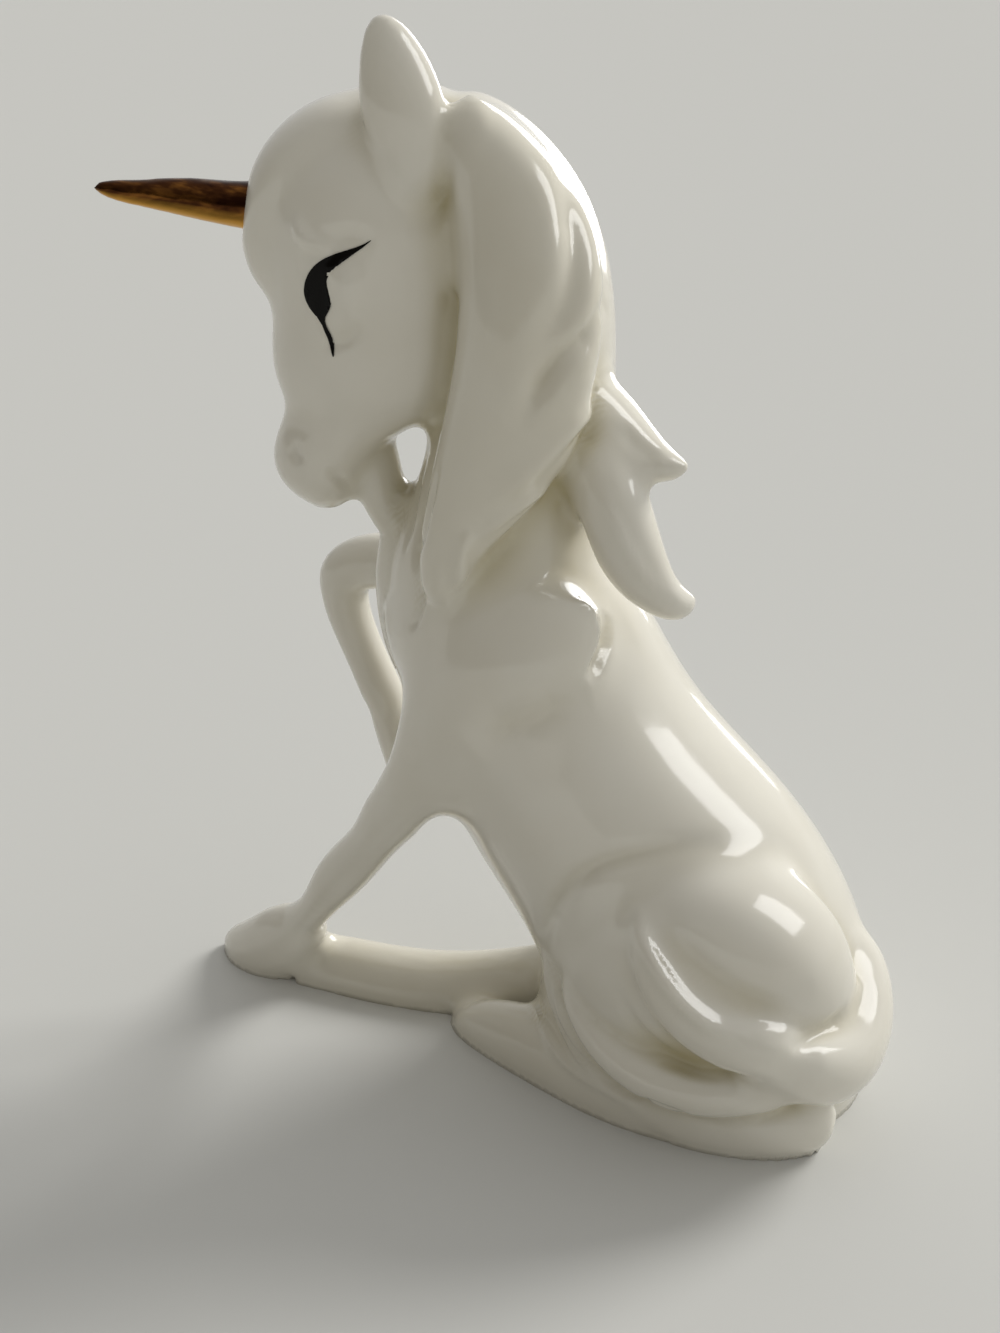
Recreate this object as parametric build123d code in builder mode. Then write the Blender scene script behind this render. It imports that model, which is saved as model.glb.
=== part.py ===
from build123d import *
import os
from math import cos, radians, sin

os.makedirs("parts", exist_ok=True)

# A seated unicorn of glazed porcelain, in millimetres. Its flat foot stands on Z = 0, with the
# origin under the haunches. It faces -X and its own left side faces -Y. Every place below is
# given ahead (-X), left (-Y) and up (+Z), in the frame of the figure or of its turned head.

# Casting
wall = 2.6
vent_bore = 3.4
vent_ahead = 9.0
enamel_film = 0.25

# Trunk and neck
seat_ahead = 4.0
trunk_rise = 67.0
trunk_depth = 44.0
trunk_width = 36.0
neck_rise = 38.0
neck_width = 20.0

# Head
head_turn = 20.0
head_height = 50.0
head_depth = 29.0
head_width = 22.0
ear_length = 18.0
ear_width = 9.0
horn_length = 24.0
horn_base = 5.8
forelock_length = 24.0
forelock_width = 14.0
eye_height = 12.6

# Mane and throat hair
crest_fall = 40.0
crest_width = 24.0
lock_fall = 50.0
lock_width = 16.0
lock_right_width = 12.0
upper_curl_length = 20.0
upper_curl_width = 10.0
lower_curl_length = 20.0
lower_curl_width = 9.0
beard_length = 20.0
beard_width = 7.0
chest_lock_length = 25.0
chest_lock_width = 8.6

# Forelegs
foreleg_reach = 42.0
foreleg_width = 6.4
front_hoof_length = 17.0
front_hoof_width = 9.0
raised_leg_reach = 24.0
raised_leg_width = 7.2
raised_hoof_length = 12.0
raised_hoof_width = 7.8

# Haunches and hind feet
haunch_length = 37.0
haunch_height = 36.0
haunch_stand = 14.0
hind_foot_length = 47.0
hind_foot_width = 11.0

# Tail
tail_root_length = 24.0
tail_root_width = 10.0
top_lock_length = 24.0
top_lock_width = 8.6
middle_lock_length = 32.0
middle_lock_width = 6.8
outer_lock_length = 40.0
outer_lock_width = 8.0

# Each row of the tables holds a place on a piece's centre line, ahead, left and up of its
# start, as shares of the piece's length, then its half depth and half breadth there, as
# shares of its widths. A row without width is a rounded tip.
trunk_shares = [
    (0.00, 0.00, -0.12, 0.44, 0.43),
    (0.00, 0.00, 0.00, 0.46, 0.45),
    (0.015, 0.00, 0.18, 0.50, 0.49),
    (0.07, 0.00, 0.36, 0.45, 0.50),
    (0.206, 0.00, 0.54, 0.40, 0.485),
    (0.328, 0.00, 0.72, 0.375, 0.455),
    (0.403, 0.00, 0.87, 0.35, 0.43),
    (0.44, 0.00, 1.00, 0.30, 0.385),
]
neck_shares = [
    (-0.04, 0.00, 0.24, 0.54, 0.55),
    (-0.053, 0.00, 0.42, 0.49, 0.50),
    (-0.03, 0.00, 0.63, 0.48, 0.475),
    (0.026, 0.00, 0.82, 0.45, 0.45),
    (0.092, 0.00, 1.00, 0.40, 0.40),
]
head_shares = [
    (0.34, 0.00, -0.628, 0.06, 0.09),
    (0.34, 0.00, -0.595, 0.125, 0.21),
    (0.348, 0.00, -0.54, 0.183, 0.28),
    (0.314, 0.00, -0.46, 0.238, 0.314),
    (0.19, 0.00, -0.34, 0.424, 0.41),
    (0.174, 0.00, -0.20, 0.472, 0.477),
    (0.18, 0.00, -0.06, 0.483, 0.50),
    (0.188, 0.00, 0.08, 0.49, 0.482),
    (0.166, 0.00, 0.20, 0.42, 0.427),
    (0.14, 0.00, 0.29, 0.29, 0.318),
    (0.12, 0.00, 0.34, 0.00, 0.00),
]
ear_shares = [
    (0.00, 0.00, 0.00, 0.24, 0.24),
    (0.01, 0.12, 0.17, 0.36, 0.27),
    (0.03, 0.145, 0.39, 0.46, 0.32),
    (0.085, 0.135, 0.64, 0.49, 0.34),
    (0.135, 0.10, 0.86, 0.40, 0.29),
    (0.18, 0.08, 1.02, 0.255, 0.20),
    (0.21, 0.07, 1.12, 0.00, 0.00),
]
horn_shares = [
    (0.00, 0.00, 0.00, 0.52, 0.52),
    (0.25, 0.00, 0.025, 0.48, 0.48),
    (0.46, 0.00, 0.05, 0.41, 0.41),
    (0.67, 0.00, 0.075, 0.32, 0.32),
    (0.83, 0.00, 0.09, 0.24, 0.24),
    (0.94, 0.00, 0.105, 0.16, 0.16),
    (1.00, 0.00, 0.11, 0.00, 0.00),
]
forelock_shares = [
    (0.00, 0.00, 0.00, 0.21, 0.43),
    (0.25, 0.00, -0.06, 0.23, 0.50),
    (0.44, 0.00, -0.25, 0.23, 0.47),
    (0.525, 0.00, -0.48, 0.20, 0.40),
    (0.525, 0.00, -0.67, 0.16, 0.29),
    (0.49, 0.00, -0.80, 0.10, 0.17),
    (0.46, 0.00, -0.90, 0.00, 0.00),
]
crest_shares = [
    (0.00, 0.00, 0.00, 0.16, 0.25),
    (-0.16, 0.00, -0.11, 0.205, 0.34),
    (-0.285, 0.00, -0.30, 0.225, 0.42),
    (-0.345, 0.00, -0.56, 0.225, 0.42),
    (-0.375, 0.00, -0.83, 0.19, 0.38),
    (-0.42, 0.00, -0.98, 0.135, 0.27),
    (-0.45, 0.00, -1.08, 0.00, 0.00),
]
lock_shares = [
    (0.00, 0.00, 0.00, 0.25, 0.25),
    (-0.11, 0.05, -0.10, 0.37, 0.36),
    (-0.20, 0.10, -0.33, 0.51, 0.41),
    (-0.18, 0.13, -0.58, 0.49, 0.385),
    (-0.10, 0.15, -0.78, 0.37, 0.30),
    (-0.035, 0.175, -0.93, 0.225, 0.22),
    (-0.013, 0.18, -1.04, 0.13, 0.125),
    (-0.012, 0.18, -1.085, 0.00, 0.00),
]
upper_curl_shares = [
    (0.00, 0.00, 0.00, 0.37, 0.45),
    (-0.18, -0.02, -0.26, 0.41, 0.44),
    (-0.395, 0.00, -0.45, 0.38, 0.41),
    (-0.59, 0.03, -0.55, 0.27, 0.29),
    (-0.72, 0.05, -0.56, 0.16, 0.17),
    (-0.81, 0.05, -0.54, 0.00, 0.00),
]
lower_curl_shares = [
    (0.00, 0.00, 0.00, 0.40, 0.42),
    (-0.08, 0.08, -0.25, 0.48, 0.44),
    (-0.22, 0.11, -0.57, 0.44, 0.40),
    (-0.36, 0.085, -0.79, 0.335, 0.31),
    (-0.49, 0.025, -0.89, 0.235, 0.24),
    (-0.60, -0.02, -0.87, 0.00, 0.00),
]
beard_shares = [
    (0.00, 0.00, 0.00, 0.43, 0.48),
    (-0.05, -0.02, -0.225, 0.43, 0.50),
    (-0.12, -0.045, -0.425, 0.385, 0.50),
    (-0.205, -0.07, -0.60, 0.33, 0.47),
    (-0.27, -0.09, -0.775, 0.23, 0.36),
    (-0.30, -0.10, -1.00, 0.00, 0.00),
]
chest_lock_shares = [
    (0.00, 0.00, 0.00, 0.28, 0.40),
    (0.036, 0.02, -0.24, 0.41, 0.49),
    (0.06, 0.02, -0.50, 0.44, 0.51),
    (0.09, 0.00, -0.74, 0.33, 0.38),
    (0.136, -0.03, -0.90, 0.15, 0.19),
    (0.168, -0.04, -1.00, 0.00, 0.00),
]
foreleg_shares = [
    (0.00, 0.00, 0.00, 0.62, 0.62),
    (0.095, 0.095, -0.07, 1.33, 0.78),
    (0.214, 0.13, -0.167, 1.48, 0.78),
    (0.345, 0.107, -0.28, 1.25, 0.75),
    (0.464, 0.064, -0.394, 0.81, 0.66),
    (0.595, 0.024, -0.508, 0.58, 0.56),
    (0.70, -0.012, -0.606, 0.50, 0.50),
    (0.786, -0.043, -0.677, 0.515, 0.50),
    (0.893, -0.083, -0.776, 0.39, 0.41),
    (0.976, -0.12, -0.845, 0.44, 0.47),
    (1.05, -0.143, -0.894, 0.50, 0.56),
]
front_hoof_shares = [
    (0.00, 0.00, 0.00, 0.29, 0.29),
    (0.206, -0.09, -0.32, 0.53, 0.45),
    (0.44, -0.165, -0.68, 0.57, 0.47),
    (0.676, -0.225, -0.86, 0.46, 0.42),
    (0.853, -0.275, -0.92, 0.30, 0.27),
    (0.97, -0.30, -0.95, 0.00, 0.00),
]
raised_leg_shares = [
    (0.00, 0.00, 0.00, 0.62, 0.58),
    (0.333, -0.146, 0.00, 0.58, 0.56),
    (0.583, -0.23, -0.017, 0.53, 0.51),
    (0.80, -0.275, -0.05, 0.52, 0.50),
    (0.935, -0.285, -0.115, 0.50, 0.49),
    (0.985, -0.29, -0.23, 0.46, 0.465),
    (0.965, -0.29, -0.38, 0.41, 0.43),
    (0.90, -0.285, -0.55, 0.385, 0.40),
    (0.80, -0.265, -0.75, 0.39, 0.40),
    (0.72, -0.25, -0.90, 0.39, 0.40),
]
raised_hoof_shares = [
    (0.00, 0.00, 0.00, 0.33, 0.35),
    (-0.167, 0.025, -0.333, 0.41, 0.42),
    (-0.35, 0.067, -0.667, 0.47, 0.50),
    (-0.525, 0.10, -0.967, 0.50, 0.53),
]
haunch_shares = [
    (0.00, 0.00, 0.00, 0.50, 0.50),
    (0.00, 0.32, 0.00, 0.49, 0.49),
    (0.00, 0.57, -0.03, 0.44, 0.435),
    (0.00, 0.77, -0.07, 0.33, 0.34),
    (0.00, 0.90, -0.10, 0.20, 0.21),
    (0.00, 0.95, -0.11, 0.00, 0.00),
]
hind_foot_shares = [
    (0.00, 0.00, 0.00, 0.62, 0.42),
    (0.30, 0.06, 0.00, 0.75, 0.48),
    (0.62, -0.01, -0.015, 0.60, 0.44),
    (0.82, -0.08, -0.03, 0.46, 0.36),
    (0.95, -0.125, -0.045, 0.28, 0.24),
    (1.02, -0.14, -0.05, 0.00, 0.00),
]
long_foot_shares = [
    (0.00, 0.00, 0.00, 0.64, 0.43),
    (0.167, -0.015, 0.00, 0.66, 0.46),
    (0.327, 0.02, -0.003, 0.60, 0.45),
    (0.487, 0.08, -0.012, 0.52, 0.43),
    (0.647, 0.125, -0.02, 0.43, 0.43),
    (0.807, 0.142, -0.024, 0.40, 0.42),
    (0.936, 0.142, -0.024, 0.39, 0.40),
    (1.00, 0.142, -0.024, 0.38, 0.39),
]
tail_root_shares = [
    (0.00, 0.00, 0.00, 0.40, 0.40),
    (-0.21, 0.062, -0.146, 0.46, 0.46),
    (-0.27, 0.25, -0.312, 0.46, 0.52),
    (-0.21, 0.48, -0.375, 0.50, 0.54),
    (-0.062, 0.67, -0.30, 0.46, 0.48),
    (0.125, 0.77, -0.196, 0.36, 0.40),
]
top_lock_shares = [
    (0.00, 0.00, 0.00, 0.42, 0.42),
    (0.188, 0.14, 0.096, 0.50, 0.47),
    (0.44, 0.15, 0.21, 0.48, 0.44),
    (0.604, 0.15, 0.387, 0.38, 0.38),
    (0.70, 0.12, 0.533, 0.23, 0.26),
    (0.746, 0.08, 0.68, 0.00, 0.00),
]
middle_lock_shares = [
    (0.00, 0.00, 0.00, 0.45, 0.40),
    (0.22, 0.062, -0.062, 0.50, 0.44),
    (0.437, 0.078, -0.078, 0.47, 0.44),
    (0.656, 0.047, -0.016, 0.41, 0.41),
    (0.828, -0.02, 0.119, 0.29, 0.32),
    (0.92, -0.078, 0.28, 0.00, 0.00),
]
outer_lock_shares = [
    (0.00, 0.00, 0.00, 0.48, 0.40),
    (0.075, 0.10, -0.075, 0.62, 0.42),
    (0.225, 0.135, -0.10, 0.60, 0.40),
    (0.40, 0.14, -0.095, 0.55, 0.37),
    (0.575, 0.115, -0.035, 0.43, 0.36),
    (0.725, 0.07, 0.075, 0.325, 0.31),
    (0.815, 0.035, 0.225, 0.24, 0.26),
    (0.832, 0.015, 0.388, 0.19, 0.24),
    (0.788, 0.005, 0.525, 0.125, 0.175),
    (0.70, 0.00, 0.588, 0.00, 0.00),
]
# The painted eye, ahead and up of its middle, as shares of its height: lash, pupil, tear line
eye_shares = [
    (-0.42, 0.54),
    (-0.20, 0.45),
    (-0.05, 0.39),
    (0.08, 0.29),
    (0.15, 0.17),
    (0.17, 0.05),
    (0.13, -0.07),
    (0.05, -0.17),
    (-0.01, -0.31),
    (-0.065, -0.50),
    (-0.04, -0.30),
    (0.00, -0.16),
    (-0.055, -0.06),
    (-0.07, 0.04),
    (-0.045, 0.17),
    (-0.10, 0.28),
    (-0.24, 0.40),
]

left_way = (0, 1, 0)
up_way = (0, 0, 1)
ahead_way = (1, 0, 0)


def place(frame, ahead, left, up):
    """A point of the figure, from its distances ahead, left and up in a frame."""
    return frame.from_local_coords(Vector(ahead, left, up))


def ring(plane, front, side):
    """A smooth oval section: half depth along the plane's X, half breadth along its Y."""
    with BuildSketch(plane) as section:
        Ellipse(front, side)
    return section.sketch


def limb(frame, start, lengths, widths, shares, across=left_way, level=False, grow=0.0):
    """The sections of a limb, lock or casting along its centre line.

    They stand square to that line, or level, with their breadth across. grow widens each
    section all round, and narrows it where it is less than zero.
    """
    line = [
        place(frame, *[s + length * share for s, length, share in zip(start, lengths, row)])
        for row in shares
    ]
    side = place(frame, *across) - frame.origin
    sections = []
    for index, row in enumerate(shares):
        after = line[min(index + 1, len(line) - 1)]
        before = line[max(index - 1, 0)]
        run = frame.z_dir if level else after - before
        if row[3] == 0:
            sections.append(Vertex(line[index]))
        else:
            plane = Plane(origin=line[index], x_dir=side.cross(run), z_dir=run)
            sections.append(ring(plane, widths[0] * row[3] + grow, widths[1] * row[4] + grow))
    return sections


def alike(length):
    """One length for all three directions."""
    return (length, length, length)


def mirrored(shares):
    """The same table for the other side of the figure."""
    return [(ahead, -left, up, depth, breadth) for ahead, left, up, depth, breadth in shares]


# Frames of the figure and of its head, which looks a little to its left
figure = Plane(origin=(0, 0, 0), x_dir=(-1, 0, 0), z_dir=(0, 0, 1))
trunk_start = (seat_ahead, 0, 0)
trunk_top = (seat_ahead + trunk_shares[-1][0] * trunk_rise, 0, trunk_rise)
head_seat = (trunk_top[0] + neck_shares[-1][0] * neck_rise, 0, trunk_rise + neck_rise)
head_frame = Plane(
    origin=place(figure, *head_seat),
    x_dir=place(figure, cos(radians(head_turn)), sin(radians(head_turn)), 0),
    z_dir=(0, 0, 1),
)

# Trunk: a hollow casting with a flat foot and a small vent hole, open to the neck
trunk_widths = (trunk_depth, trunk_width)
trunk_rings = limb(figure, trunk_start, alike(trunk_rise), trunk_widths, trunk_shares)
trunk_hollow_rings = limb(
    figure, trunk_start, alike(trunk_rise), trunk_widths, trunk_shares, grow=-wall,
)

with BuildPart() as trunk_hollow:
    loft(sections=trunk_hollow_rings)
    split(bisect_by=Plane.XY.offset(wall), keep=Keep.TOP)
    with BuildSketch(Plane.XY):
        with Locations((-vent_ahead, 0)):
            Circle(radius=vent_bore / 2)
    extrude(amount=2 * wall)

with BuildPart() as trunk:
    trunk_form = loft(sections=trunk_rings)
    split(bisect_by=Plane.XY, keep=Keep.TOP)
    add(trunk_hollow.part, mode=Mode.SUBTRACT)
trunk.part.label = "trunk"
export_step(trunk.part, "parts/trunk.step")

# Head and neck: hollow castings, the head egg-shaped in plan with a narrow muzzle
head_start = (0, 0, 0)
head_widths = (head_depth, head_width)
neck_widths = (neck_width, neck_width)
neck_rings = limb(figure, trunk_top, alike(neck_rise), neck_widths, neck_shares)
neck_hollow_rings = limb(
    figure, trunk_top, alike(neck_rise), neck_widths, neck_shares, grow=-wall,
)

with BuildPart() as head_hollow:
    loft(sections=limb(
        head_frame, head_start, alike(head_height), head_widths, head_shares[2:-1],
        level=True, grow=-wall,
    ))

with BuildPart() as neck_hollow:
    loft(sections=[trunk_hollow_rings[-1]] + neck_hollow_rings)

with BuildPart() as head:
    head_form = loft(sections=limb(
        head_frame, head_start, alike(head_height), head_widths, head_shares, level=True,
    ))
    add([head_hollow.part, neck_hollow.part], mode=Mode.SUBTRACT)
head.part.label = "head"
export_step(head.part, "parts/head.step")

with BuildPart() as neck:
    neck_form = loft(sections=[trunk_rings[-1]] + neck_rings)
    add([neck_hollow.part, head_form], mode=Mode.SUBTRACT)
neck.part.label = "neck"
export_step(neck.part, "parts/neck.step")

# Horn, forelock and ears, luted to the head
horn_start = (0.36 * head_height, 0, 0.068 * head_height)
forelock_start = (0.20 * head_height, 0, 0.27 * head_height)
ear_start = (0.10 * head_height, 0.27 * head_width, 0.10 * head_height)
ear_right_start = (
    ear_start[0] + 0.02 * head_height, -ear_start[1], ear_start[2] - 0.03 * head_height,
)

with BuildPart() as horn:
    horn_form = loft(sections=limb(
        head_frame, horn_start, alike(horn_length), (horn_base, horn_base), horn_shares,
    ))
    add(head_form, mode=Mode.SUBTRACT)
horn.part.label = "horn"
export_step(horn.part, "parts/horn.step")

with BuildPart() as forelock:
    loft(sections=limb(
        head_frame, forelock_start, alike(forelock_length),
        (forelock_width, forelock_width), forelock_shares,
    ))
    add([head_form, horn_form], mode=Mode.SUBTRACT)
forelock.part.label = "forelock"
export_step(forelock.part, "parts/forelock.step")

with BuildPart() as ear_left:
    ear_left_form = loft(sections=limb(
        head_frame, ear_start, alike(ear_length), (ear_width, ear_width), ear_shares,
    ))
    add(head_form, mode=Mode.SUBTRACT)
ear_left.part.label = "ear_left"
export_step(ear_left.part, "parts/ear_left.step")

with BuildPart() as ear_right:
    ear_right_form = loft(sections=limb(
        head_frame, ear_right_start, alike(ear_length), (ear_width, ear_width),
        mirrored(ear_shares),
    ))
    add(head_form, mode=Mode.SUBTRACT)
ear_right.part.label = "ear_right"
export_step(ear_right.part, "parts/ear_right.step")

# Eyes: a film of black enamel fired over the glaze
eye_middle = (0.31 * head_height, 0, -0.09 * head_height)

with BuildPart() as enamel_skin:
    loft(sections=limb(
        head_frame, head_start, alike(head_height), head_widths, head_shares[3:-2],
        level=True, grow=enamel_film,
    ))

for name, hand in (("eye_enamel_left", 1), ("eye_enamel_right", -1)):
    eye_plane = Plane(
        origin=place(head_frame, *eye_middle),
        x_dir=head_frame.x_dir,
        z_dir=head_frame.y_dir * hand,
    )
    with BuildPart() as eye:
        with BuildSketch(eye_plane):
            with BuildLine():
                Spline(
                    *[(a * eye_height, -hand * b * eye_height) for a, b in eye_shares],
                    periodic=True,
                )
            make_face()
        extrude(amount=head_width)
        add(enamel_skin.part, mode=Mode.INTERSECT)
        add(head_form, mode=Mode.SUBTRACT)
    eye.part.label = name
    export_step(eye.part, f"parts/{name}.step")

# Mane: a crest along the neck, a long lock down each side, and two curls behind
core = [trunk_form, neck_form, head_form]
crest_start = (head_seat[0] + 0.04 * head_height, 0, head_seat[2] + 0.27 * head_height)
lock_start = (
    head_seat[0] - 0.02 * head_height, 0.18 * head_width, head_seat[2] + 0.28 * head_height,
)
lock_right_start = (
    lock_start[0] + 0.05 * head_height, -0.12 * head_width, lock_start[2] - 0.05 * head_height,
)
upper_curl_start = (
    head_seat[0] - 0.585 * neck_width, 0.10 * neck_width, head_seat[2] - 0.58 * neck_width,
)
lower_curl_start = (
    head_seat[0] - 0.88 * neck_width, 0.175 * neck_width, head_seat[2] - 0.555 * neck_rise,
)

with BuildPart() as mane_crest:
    crest_form = loft(sections=limb(
        figure, crest_start, alike(crest_fall), (crest_width, crest_width), crest_shares,
    ))
    add(core + [ear_left_form, ear_right_form], mode=Mode.SUBTRACT)
mane_crest.part.label = "mane_crest"
export_step(mane_crest.part, "parts/mane_crest.step")

with BuildPart() as mane_lock_left:
    lock_left_form = loft(sections=limb(
        figure, lock_start, alike(lock_fall), (lock_width, lock_width), lock_shares,
    ))
    add(core + [crest_form, ear_left_form], mode=Mode.SUBTRACT)
mane_lock_left.part.label = "mane_lock_left"
export_step(mane_lock_left.part, "parts/mane_lock_left.step")

with BuildPart() as mane_lock_right:
    lock_right_form = loft(sections=limb(
        figure, lock_right_start, alike(lock_fall), (lock_right_width, lock_right_width),
        mirrored(lock_shares),
    ))
    add(core + [crest_form, ear_right_form], mode=Mode.SUBTRACT)
mane_lock_right.part.label = "mane_lock_right"
export_step(mane_lock_right.part, "parts/mane_lock_right.step")

with BuildPart() as mane_curl_upper:
    upper_curl_form = loft(sections=limb(
        figure, upper_curl_start, alike(upper_curl_length),
        (upper_curl_width, upper_curl_width), upper_curl_shares,
    ))
    add([trunk_form, neck_form, crest_form, lock_left_form], mode=Mode.SUBTRACT)
mane_curl_upper.part.label = "mane_curl_upper"
export_step(mane_curl_upper.part, "parts/mane_curl_upper.step")

with BuildPart() as mane_curl_lower:
    loft(sections=limb(
        figure, lower_curl_start, alike(lower_curl_length),
        (lower_curl_width, lower_curl_width), lower_curl_shares,
    ))
    add(
        [trunk_form, neck_form, crest_form, lock_left_form, upper_curl_form],
        mode=Mode.SUBTRACT,
    )
mane_curl_lower.part.label = "mane_curl_lower"
export_step(mane_curl_lower.part, "parts/mane_curl_lower.step")

# Throat: a beard from the jaw to the neck, and a leaf-shaped lock on the chest
beard_place = figure.to_local_coords(place(head_frame, 0.24 * head_height, 0, -0.46 * head_height))
beard_start = (beard_place.X, beard_place.Y, beard_place.Z)
chest_lock_start = (
    trunk_top[0] + trunk_shares[-1][3] * trunk_depth - 0.21 * neck_width,
    0.10 * neck_width,
    trunk_rise + 0.40 * neck_width,
)

with BuildPart() as beard:
    beard_form = loft(sections=limb(
        figure, beard_start, alike(beard_length), (beard_width, beard_width), beard_shares,
    ))
    add(core, mode=Mode.SUBTRACT)
beard.part.label = "beard"
export_step(beard.part, "parts/beard.step")

with BuildPart() as chest_lock:
    chest_lock_form = loft(sections=limb(
        figure, chest_lock_start, alike(chest_lock_length),
        (chest_lock_width, chest_lock_width), chest_lock_shares,
    ))
    add([trunk_form, neck_form, beard_form, lock_left_form], mode=Mode.SUBTRACT)
chest_lock.part.label = "chest_lock"
export_step(chest_lock.part, "parts/chest_lock.step")

# Forelegs: the left one planted with its shoulder, the right one raised and folded
shoulder = (seat_ahead + 0.24 * trunk_rise, 0.195 * trunk_width, 0.985 * trunk_rise)
ankle_up = 0.152 * shoulder[2]
ankle = (shoulder[0] + 0.94 * foreleg_reach, shoulder[1] - 0.11 * foreleg_reach, ankle_up)
raised_shoulder = (
    seat_ahead + 0.257 * trunk_rise + 0.34 * trunk_depth, -0.167 * trunk_width, 0.895 * trunk_rise,
)
raised_ankle = (
    raised_shoulder[0] + 0.74 * raised_leg_reach,
    raised_shoulder[1] - 0.252 * raised_leg_reach,
    raised_shoulder[2] - 0.88 * raised_leg_reach,
)

with BuildPart() as foreleg_left:
    foreleg_left_form = loft(sections=limb(
        figure, shoulder, (foreleg_reach, foreleg_reach, shoulder[2]),
        (foreleg_width, foreleg_width), foreleg_shares,
    ))
    add([trunk_form, neck_form, lock_left_form, chest_lock_form], mode=Mode.SUBTRACT)
foreleg_left.part.label = "foreleg_left"
export_step(foreleg_left.part, "parts/foreleg_left.step")

with BuildPart() as front_hoof_left:
    front_hoof_form = loft(sections=limb(
        figure, ankle, (front_hoof_length, front_hoof_length, ankle_up),
        (front_hoof_width, front_hoof_width), front_hoof_shares,
    ))
    split(bisect_by=Plane.XY, keep=Keep.TOP)
    add(foreleg_left_form, mode=Mode.SUBTRACT)
front_hoof_left.part.label = "front_hoof_left"
export_step(front_hoof_left.part, "parts/front_hoof_left.step")

raised_leg_rings = limb(
    figure, raised_shoulder, alike(raised_leg_reach),
    (raised_leg_width, raised_leg_width), raised_leg_shares,
)
knee_ring = 5

with BuildPart() as foreleg_right:
    loft(sections=raised_leg_rings[:knee_ring + 1])
    loft(sections=raised_leg_rings[knee_ring:])
    foreleg_right_form = foreleg_right.part
    add([trunk_form, neck_form, chest_lock_form], mode=Mode.SUBTRACT)
foreleg_right.part.label = "foreleg_right"
export_step(foreleg_right.part, "parts/foreleg_right.step")

with BuildPart() as front_hoof_right:
    loft(sections=limb(
        figure, raised_ankle, alike(raised_hoof_length),
        (raised_hoof_width, raised_hoof_width), raised_hoof_shares,
    ))
    add([foreleg_right_form, trunk_form], mode=Mode.SUBTRACT)
front_hoof_right.part.label = "front_hoof_right"
export_step(front_hoof_right.part, "parts/front_hoof_right.step")

# Haunches and hind feet, flat on the ground; the right foot reaches the planted front hoof
haunch_start = (seat_ahead - 0.028 * trunk_width, 0.195 * trunk_width, 0.30 * trunk_rise)
haunch_right_start = (haunch_start[0] + 0.16 * trunk_depth, -haunch_start[1], 0.27 * trunk_rise)
haunch_widths = (haunch_height, haunch_length)
foot_start = (
    seat_ahead - 0.30 * trunk_depth, 0.278 * trunk_width, 0.27 * hind_foot_width,
)
foot_right_start = (seat_ahead - 0.10 * trunk_depth, -foot_start[1], foot_start[2])
long_foot_length = ankle[0] - foot_right_start[0] + 0.15 * front_hoof_length

with BuildPart() as haunch_left:
    haunch_left_form = loft(sections=limb(
        figure, haunch_start, alike(haunch_stand), haunch_widths, haunch_shares, across=ahead_way,
    ))
    add(trunk_form, mode=Mode.SUBTRACT)
haunch_left.part.label = "haunch_left"
export_step(haunch_left.part, "parts/haunch_left.step")

with BuildPart() as haunch_right:
    haunch_right_form = loft(sections=limb(
        figure, haunch_right_start, alike(haunch_stand), haunch_widths, mirrored(haunch_shares),
        across=ahead_way,
    ))
    add(trunk_form, mode=Mode.SUBTRACT)
haunch_right.part.label = "haunch_right"
export_step(haunch_right.part, "parts/haunch_right.step")

with BuildPart() as hind_foot_left:
    hind_foot_left_form = loft(sections=limb(
        figure, foot_start, alike(hind_foot_length),
        (hind_foot_width, hind_foot_width), hind_foot_shares,
    ))
    split(bisect_by=Plane.XY, keep=Keep.TOP)
    add([trunk_form, haunch_left_form], mode=Mode.SUBTRACT)
hind_foot_left.part.label = "hind_foot_left"
export_step(hind_foot_left.part, "parts/hind_foot_left.step")

with BuildPart() as hind_foot_right:
    loft(sections=limb(
        figure, foot_right_start, alike(long_foot_length),
        (hind_foot_width, hind_foot_width), long_foot_shares,
    ))
    split(bisect_by=Plane.XY, keep=Keep.TOP)
    add(
        [trunk_form, haunch_right_form, hind_foot_left_form, front_hoof_form, foreleg_left_form],
        mode=Mode.SUBTRACT,
    )
hind_foot_right.part.label = "hind_foot_right"
export_step(hind_foot_right.part, "parts/hind_foot_right.step")

# Tail: a thick root round the left haunch, then three locks that curl up over the thigh
tail_start = (seat_ahead - 0.295 * trunk_depth, 0, 0.33 * trunk_rise)
top_lock_start = (
    tail_start[0], 0.67 * tail_root_length, tail_start[2] - 0.23 * tail_root_length,
)
middle_lock_start = (
    tail_start[0] - 0.04 * tail_root_length,
    0.67 * tail_root_length,
    tail_start[2] - 0.42 * tail_root_length,
)
outer_lock_start = (
    tail_start[0] - 0.12 * tail_root_length, 0.42 * tail_root_length, 0.875 * outer_lock_width,
)
seat = [trunk_form, haunch_left_form, hind_foot_left_form]

with BuildPart() as tail_root:
    tail_root_form = loft(sections=limb(
        figure, tail_start, alike(tail_root_length),
        (tail_root_width, tail_root_width), tail_root_shares, across=up_way,
    ))
    add(seat, mode=Mode.SUBTRACT)
tail_root.part.label = "tail_root"
export_step(tail_root.part, "parts/tail_root.step")

with BuildPart() as tail_lock_top:
    top_lock_form = loft(sections=limb(
        figure, top_lock_start, alike(top_lock_length),
        (top_lock_width, top_lock_width), top_lock_shares,
    ))
    add(seat + [tail_root_form], mode=Mode.SUBTRACT)
tail_lock_top.part.label = "tail_lock_top"
export_step(tail_lock_top.part, "parts/tail_lock_top.step")

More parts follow.
